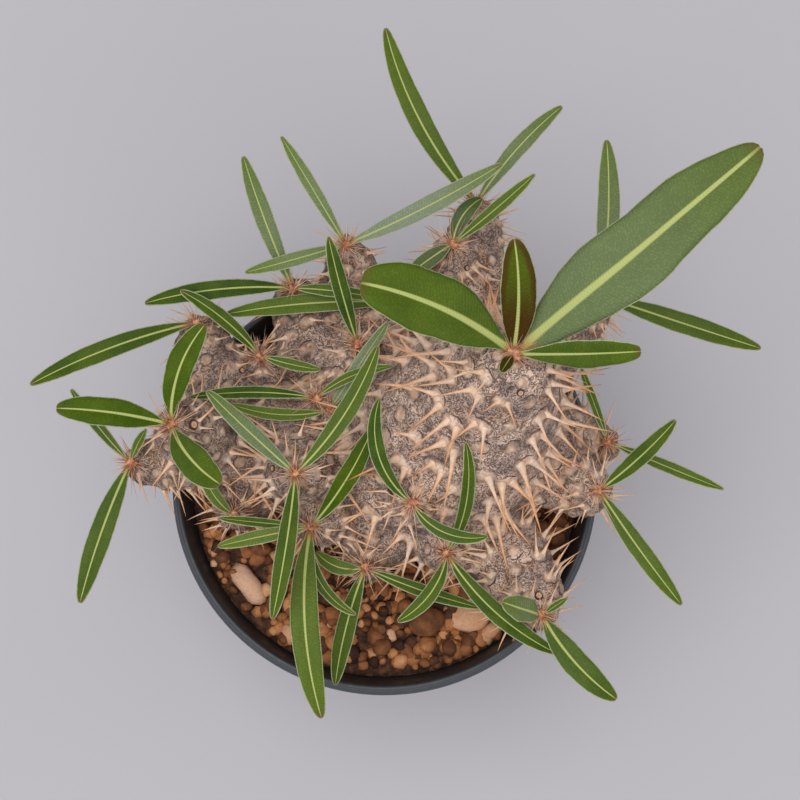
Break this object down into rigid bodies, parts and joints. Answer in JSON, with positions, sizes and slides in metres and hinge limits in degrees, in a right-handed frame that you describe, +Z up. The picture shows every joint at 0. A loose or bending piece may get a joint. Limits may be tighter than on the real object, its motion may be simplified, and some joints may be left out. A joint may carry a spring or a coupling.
{
  "type": "potted pachypodium",
  "caption": "Spiny caudex succulent with lance-shaped leaves in a round black plastic pot filled with coarse grit.",
  "frame": {"origin": "centre of the pot's underside, on the surface that it stands on", "axes": "+Z up the pot's axis; -Y towards the viewer and the bottom of the picture; +X to the picture's right"},
  "size_m": [0.1967, 0.1841, 0.1957],
  "materials": {
    "black_plastic": "satin",
    "grit": "matte",
    "bark": "matte",
    "leaf": "satin"
  },
  "bodies": {
    "root": {"pot": "black_plastic", "soil": "grit", "plant_body": "bark", "rosette_01": "leaf", "rosette_02": "leaf", "rosette_03": "leaf", "rosette_04": "leaf", "rosette_05": "leaf", "rosette_06": "leaf", "rosette_07": "leaf", "rosette_08": "leaf", "rosette_09": "leaf", "rosette_10": "leaf", "rosette_11": "leaf", "rosette_12": "leaf", "rosette_13": "leaf", "rosette_14": "leaf", "rosette_15": "leaf", "rosette_16": "leaf", "rosette_17": "leaf", "rosette_18": "leaf", "rosette_19": "leaf", "rosette_20": "leaf", "rosette_21": "leaf", "rosette_22": "leaf", "rosette_23": "leaf"}
  },
  "joints": []
}
